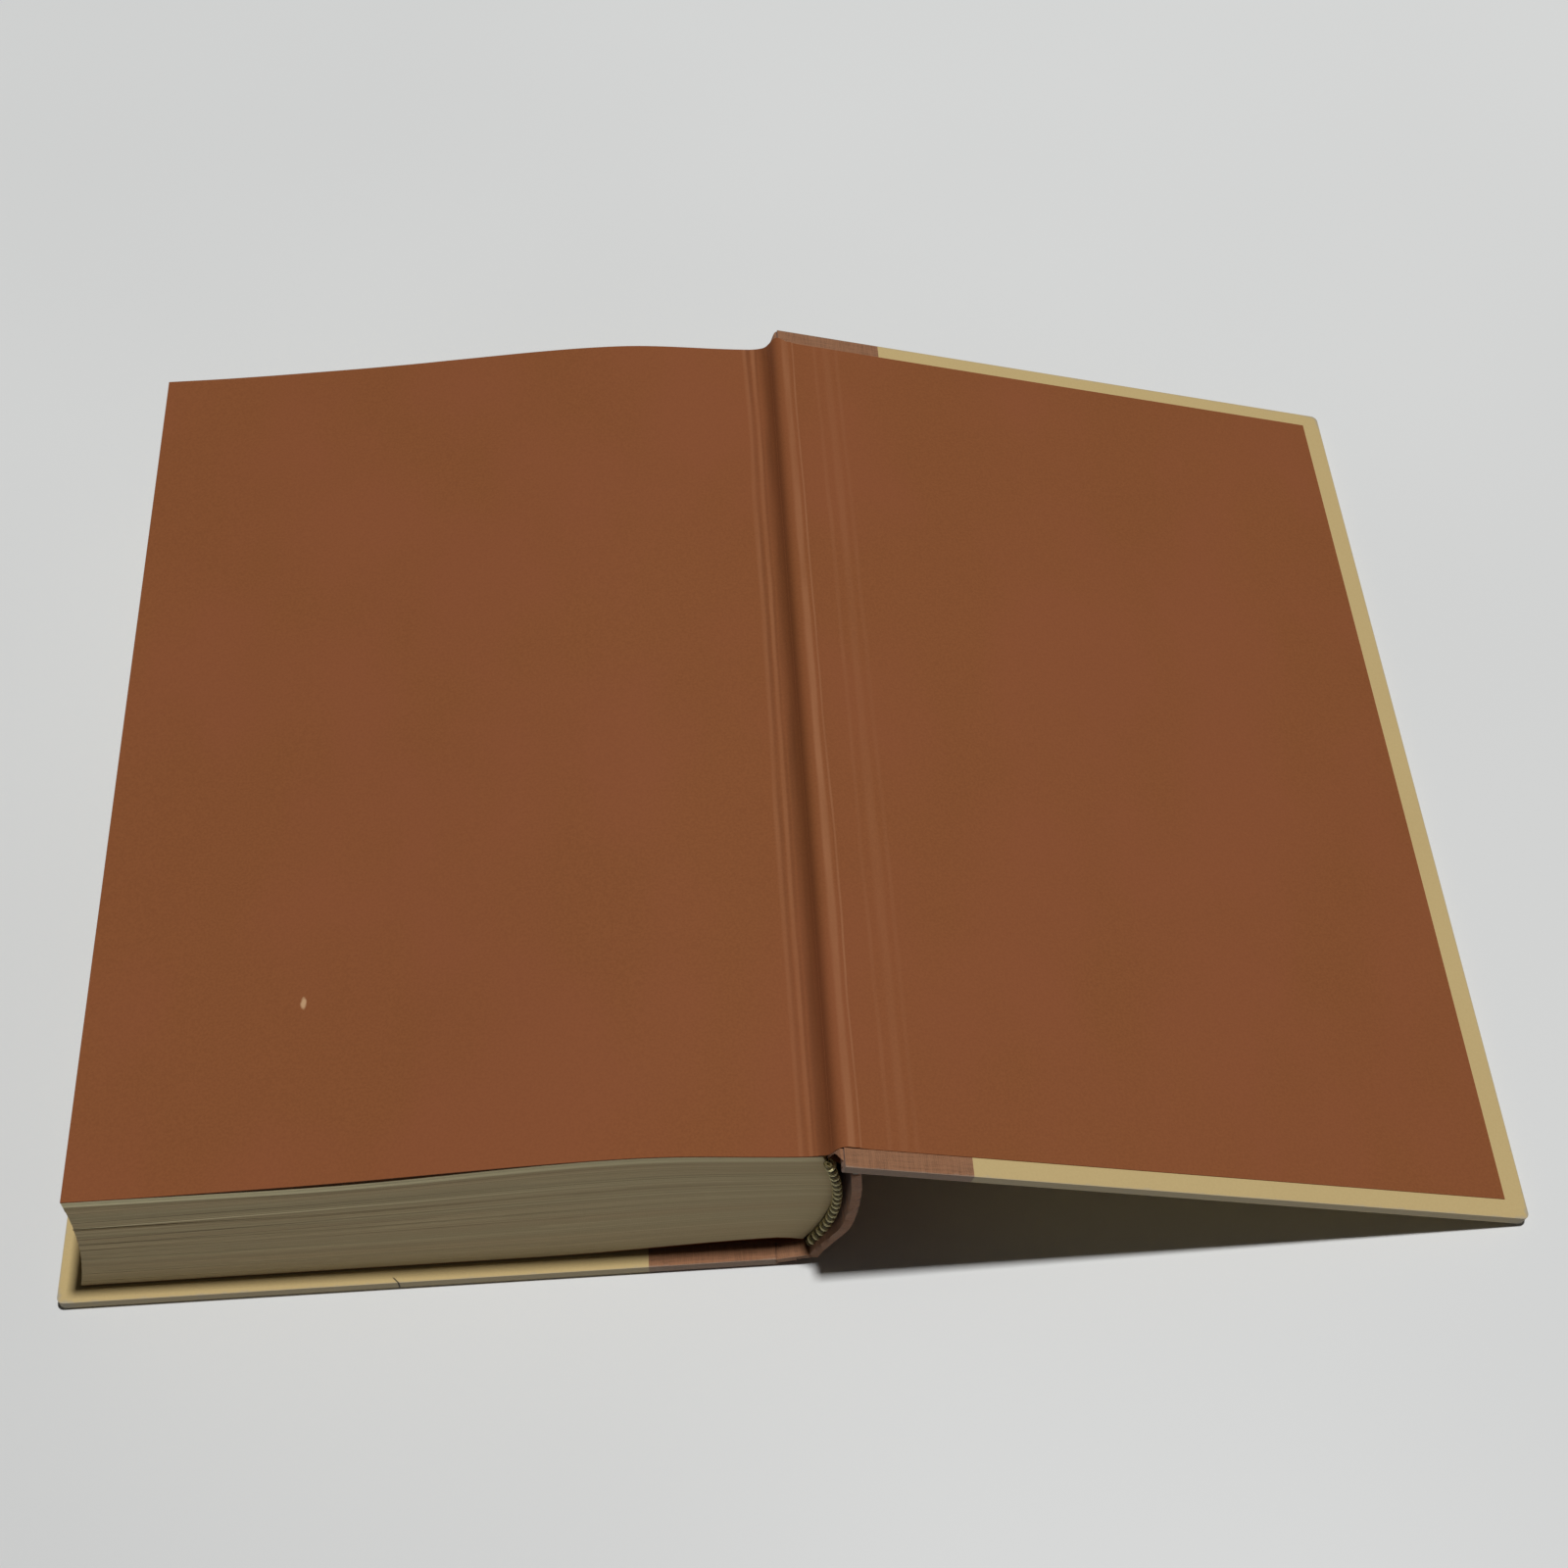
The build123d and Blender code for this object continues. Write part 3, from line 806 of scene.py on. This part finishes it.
def clothJoint(name, line, nip, slip, replaced, roll=None):
    # cloth beside a line from the hinge or fold to the strip's middle, doubled at head and tail by its
    # turned-in hems; nip says how far both ends are drawn in along the line, and roll is the path of the
    # thick turned cloth outside the hem
    full = book["caseHeight"]

    def within(low, high):
        return lambda x, length: (low - slip + (between(length, nip) if low < 1 else 0),
                                  high - slip - (between(length, nip) if high > full - 1 else 0))

    sheets = [bentSheet(name, line(jointCloth["middle"]), within(0, full), 24, jointCloth["thickness"])]
    for low, high in ((0, jointCloth["hem"]), (full - jointCloth["hem"], full)):
        sheets.append(bentSheet(name + "_hem", line(jointCloth["hemMiddle"]), within(low, high), 3,
                                jointCloth["hemThickness"]))
    if roll:
        for low, high in ((0.05, 4.5), (full - 4.5, full - 0.05)):
            sheets.append(bentSheet(name + "_roll", roll, lambda x, length: (low, high), 3,
                                    jointCloth["roll"]))
            applyModifier(sheets[-1], "BEVEL", width=0.0004, segments=2)
    piece = joined(sheets)
    dress(piece, cloth)
    if replaced:
        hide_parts(replaced)
    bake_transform(piece)
    return piece


def mullJoint(name, path, replaced):
    # the strip of mull between the paper and the cloth
    piece = bentSheet(name, offsetPath(path, jointCloth["hemMiddle"]), lambda x, length: jointCloth["mull"],
                      24, 0.12)
    dress(piece, mullCotton)
    if replaced:
        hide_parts(replaced)
    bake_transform(piece)


def makeJointCloths():
    fold, hinge = book["backFold"], book["backHinge"]
    away = direction(book["backRise"])
    right = direction(book["backRise"] - 90)

    def spineSide(offset):
        flap = (fold[0] + 1.8, fold[1] - 0.1 - offset)
        turn = (fold[0] + 0.45 + 0.4 * offset, fold[1] - 0.1 - offset)
        return easedPath([(*flap, 0), (*turn, 0.6), (*plus(stripMiddle, right, offset), 0)], 0.5)

    clothJoint("back_joint_cloth_spine", spineSide, [(0, 4.1), (1.6, 4.0), (4.2, 3.5)], 0.75,
               "back_joint_cloth")
    mullJoint("back_joint_mull_spine", easedPath([(*plus(fold, away, 0.5), 0), (*stripMiddle, 0)], 0.5),
              "back_joint_mull")
    paper = easedPath([(*stripMiddle, 0), (*ridge, *ridgeEase), (*plus(ridge, coverAlong, 3.0), 0)], 0.5)

    def coverSide(offset):
        # under the paper as far as the ridge, then down beside the board's edge
        under = [point for point in offsetPath(paper, offset) if point[0] < hinge[0] + 0.1]
        edge = plus(plus(hinge, coverAlong, 0.72), coverOut, 0.45 + offset)
        return under + easedPath([(*under[-1], 0), (*edge, 0.2), (*plus(edge, coverOut, 1.1), 0)], 0.4)[1:]

    clothJoint("back_joint_cloth_board", coverSide,
               [(0, 3.5), (1.2, 2.6), (2.2, 1.2), (3.0, 0.4), (4.0, 0)], 0.75,
               None)
    mullJoint("back_joint_mull_board", [point for point in paper if point[0] < hinge[0] + 0.4],
              None)

    fold, hinge = book["frontFold"], book["frontHinge"]
    away = direction(book["frontRise"])
    right = direction(book["frontRise"] - 90)

    def lowSpineSide(offset):
        near = plus(plus(fold, right, offset), away, -0.1)
        low = (fold[0] + 1.15, fold[1] - 1.2)
        return easedPath([(*plus(frontStripMiddle, right, offset), 0), (*near, 0.3), (*low, 0)], 0.6)

    # the roll begins where it stays clear of the board when the front cover is wide open
    lowRoll = [point for point in lowSpineSide(jointCloth["rollMiddle"]) if point[0] > jointCloth["rollFrom"]]
    clothJoint("front_joint_cloth_spine", lowSpineSide, [(0, 0), (1, 0)], 0.0,
               "front_joint_cloth", lowRoll)

    def boardSide(offset):
        near = plus(plus(hinge, right, offset), away, 0.1)
        edge = (hinge[0] - 0.7, hinge[1] - offset - 0.25)
        return easedPath([(edge[0] - 0.02, edge[1] - 0.9, 0), (*edge, 0.2), (*near, 0.2),
                          (*plus(frontStripMiddle, right, offset), 0)], 0.5)

    boardRoll = boardSide(jointCloth["rollMiddle"])
    boardRoll.append(plus(boardRoll[-1], away, 0.55))
    clothJoint("front_joint_cloth_board", boardSide, [(0, 0), (1, 0)], 0.0,
               None, boardRoll)


makeJointCloths()
print("joint cloths made")

# The spine's cloth

spineCloth = {"flapTop": 38.6, "flapReach": 163.7, "flapNip": 3.4, "rimWave": 0.35, "rimReach": 0.6}


def makeSpineCloth():
    # a copy of the CAD cloth, with the ends of its flap drawn in and its rims slightly uneven
    node = nodes["spine_cloth"]
    piece = node.copy()
    piece.data = node.data.copy()
    piece.name = "case_spine_cloth"
    bpy.context.collection.objects.link(piece)
    bpy.ops.object.select_all(action="DESELECT")
    piece.select_set(True)
    bpy.context.view_layer.objects.active = piece
    bpy.ops.object.mode_set(mode="EDIT")
    bpy.ops.mesh.select_all(action="SELECT")
    bpy.ops.mesh.remove_doubles(threshold=0.00001)
    for height in (6, 10, 14, 18, 22, 26, 30, 34, 37):
        bpy.ops.mesh.select_all(action="SELECT")
        bpy.ops.mesh.bisect(plane_co=(0, 0, height / 1000), plane_no=(0, 0, 1))
    bpy.ops.object.mode_set(mode="OBJECT")
    for vertex in piece.data.vertices:
        x, z = vertex.co.x * 1000 + book["middle"][0], vertex.co.z * 1000
        y = vertex.co.y * 1000 + book["middle"][1]
        toEnd = min(y, book["caseHeight"] - y)
        inward = 0.001 if y < 100 else -0.001
        if z > spineCloth["flapTop"] and x < spineCloth["flapReach"]:
            if toEnd < 0.5:
                vertex.co.y += inward * spineCloth["flapNip"]
        elif toEnd < spineCloth["rimReach"]:
            wave = noise.noise(Vector((z / 5, y / 100, 2)))
            vertex.co.y += inward * spineCloth["rimWave"] * (0.5 + 0.5 * wave)
            vertex.co.x += 0.0004 * noise.noise(Vector((z / 7, y / 100, 8))) * (1 if 4 < z < 36 else 0)
    dress(piece, cloth)
    smooth(piece, 35)
    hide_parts("spine_cloth")
    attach(piece, "text")


makeSpineCloth()
print("spine cloth made")

# The thread bands

threadBand = {"turns": 18, "ring": 0.66, "thread": 0.45, "fine": 0.36, "slant": 20.0, "margin": 1.3,
              "offset": 0.55,
              "length": 37.6, "tape": 7.0, "tapeOut": 0.8, "tapeOffset": 0.78, "tapeThickness": 0.25}


def makeBand(name, end, outward, node):
    pieces = []
    length = threadBand["length"]
    middle = end + outward * (threadBand["ring"] + threadBand["thread"] + 0.02)
    count = threadBand["turns"] * 2 - 1
    for index in range(count):
        pale = index % 2 == 1
        share = (threadBand["margin"] + index * (length - 2 * threadBand["margin"]) / (count - 1)) / length
        point, along = spinePath(share)
        x, z = point[0] + threadBand["offset"] * along[1] + 0.1, point[1] - threadBand["offset"] * along[0]
        turn = atan2(along[0], along[1]) + radians(threadBand["slant"])
        bpy.ops.mesh.primitive_torus_add(
            location=inFrame(x, middle, z), rotation=(0, turn, 0), major_segments=16, minor_segments=8,
            major_radius=threadBand["ring"] / 1000 * (1.0 if pale else 0.9),
            minor_radius=(threadBand["thread"] if pale else threadBand["fine"]) / 1000)
        ring = bpy.context.object
        dress(ring, paleThread, oliveThread)
        for face in ring.data.polygons:
            face.material_index = 0 if pale else 1
            face.use_smooth = True
        pieces.append(ring)
    tape = [plus(spinePath(i / 24)[0], (spinePath(i / 24)[1][1], -spinePath(i / 24)[1][0]),
                 threadBand["tapeOffset"]) for i in range(1, 24)]
    low, high = sorted((end + outward * threadBand["tapeOut"], end - outward * threadBand["tape"]))
    strip = bentSheet(name + "_tape", tape, lambda x, length: (low, high), 3, threadBand["tapeThickness"])
    dress(strip, paleThread, oliveThread)
    pieces.append(strip)
    pieces[0].name = name
    piece = joined(pieces)
    bpy.ops.object.select_all(action="DESELECT")
    piece.select_set(True)
    bpy.ops.object.transform_apply(location=True, rotation=True, scale=True)
    piece.select_set(False)
    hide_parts(node)
    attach(piece, "text")
    return piece


makeBand("tail_band", book["tail"], -1, "tailband")
makeBand("head_band", book["head"], 1, "headband")
print("thread bands made")

# Floor, light and camera

studio = {
    "floor": rgb(0.63, 0.636, 0.632),
    "paleCloudsAndSheen": rgb(0.81, 0.82, 0.812),
    "lampFrom": (0.35, 0.0, 2.6),
    "lampSize": 0.15,
    "lampPower": 59.5,
    "sky": rgb(0.97, 0.98, 1.0),
    "skyLight": 0.035,
    "lampTurn": (0, 0.13, 0),
    "cameraAt": (-0.0063, -0.3406, 0.4649),
    "cameraTurn": (0.643, 0.020, -0.058),
    "lens": 56.0,
    "sensor": 36.0,
}


def makeStudio():
    bpy.ops.mesh.primitive_plane_add(size=8)
    floor = bpy.context.object
    floor.name = "floor"
    material, tree, shader = newMaterial("paleFloor", 0.45, 0.3)
    spot = put(tree, "SeparateXYZ", Vector=objectPlace(tree)).outputs
    clouds = levels(tree, grain(tree, objectPlace(tree), 3.0, 2.0), 0.3, 0.7, 0.0, 0.25)
    # lighter towards the back: a painted sheen of the table, added to faint cloudy patches
    away = calc(tree, "ADD", clouds, levels(tree, spot[1], -0.3, 0.4, 0.0, 0.75))
    tree.links.new(blendColours(tree, away, studio["floor"], studio["paleCloudsAndSheen"]), shader.inputs["Base Color"])
    clear = put(tree, "BsdfTransparent")
    facing = put(tree, "NewGeometry").outputs["Backfacing"]
    both = put(tree, "MixShader")
    feed(tree, both.inputs[0], facing)
    feed(tree, both.inputs[1], shader.outputs[0])
    feed(tree, both.inputs[2], clear.outputs[0])
    tree.links.new(both.outputs[0], tree.nodes["Material Output"].inputs["Surface"])
    dress(floor, material)

    bpy.ops.object.light_add(type="AREA", location=studio["lampFrom"])
    lamp = bpy.context.object
    lamp.data.size = studio["lampSize"]
    lamp.data.energy = studio["lampPower"]
    lamp.rotation_euler = studio["lampTurn"]

    world = bpy.data.worlds.new("softSky")
    bpy.context.scene.world = world
    world.use_nodes = True
    background = world.node_tree.nodes["Background"]
    background.inputs["Color"].default_value = studio["sky"]
    background.inputs["Strength"].default_value = studio["skyLight"]

    bpy.ops.object.camera_add(location=studio["cameraAt"], rotation=studio["cameraTurn"])
    camera = bpy.context.object
    camera.data.lens = studio["lens"]
    camera.data.sensor_width = studio["sensor"]
    bpy.context.scene.camera = camera
    bpy.context.scene.view_settings.view_transform = "Standard"


makeStudio()
print("studio made")
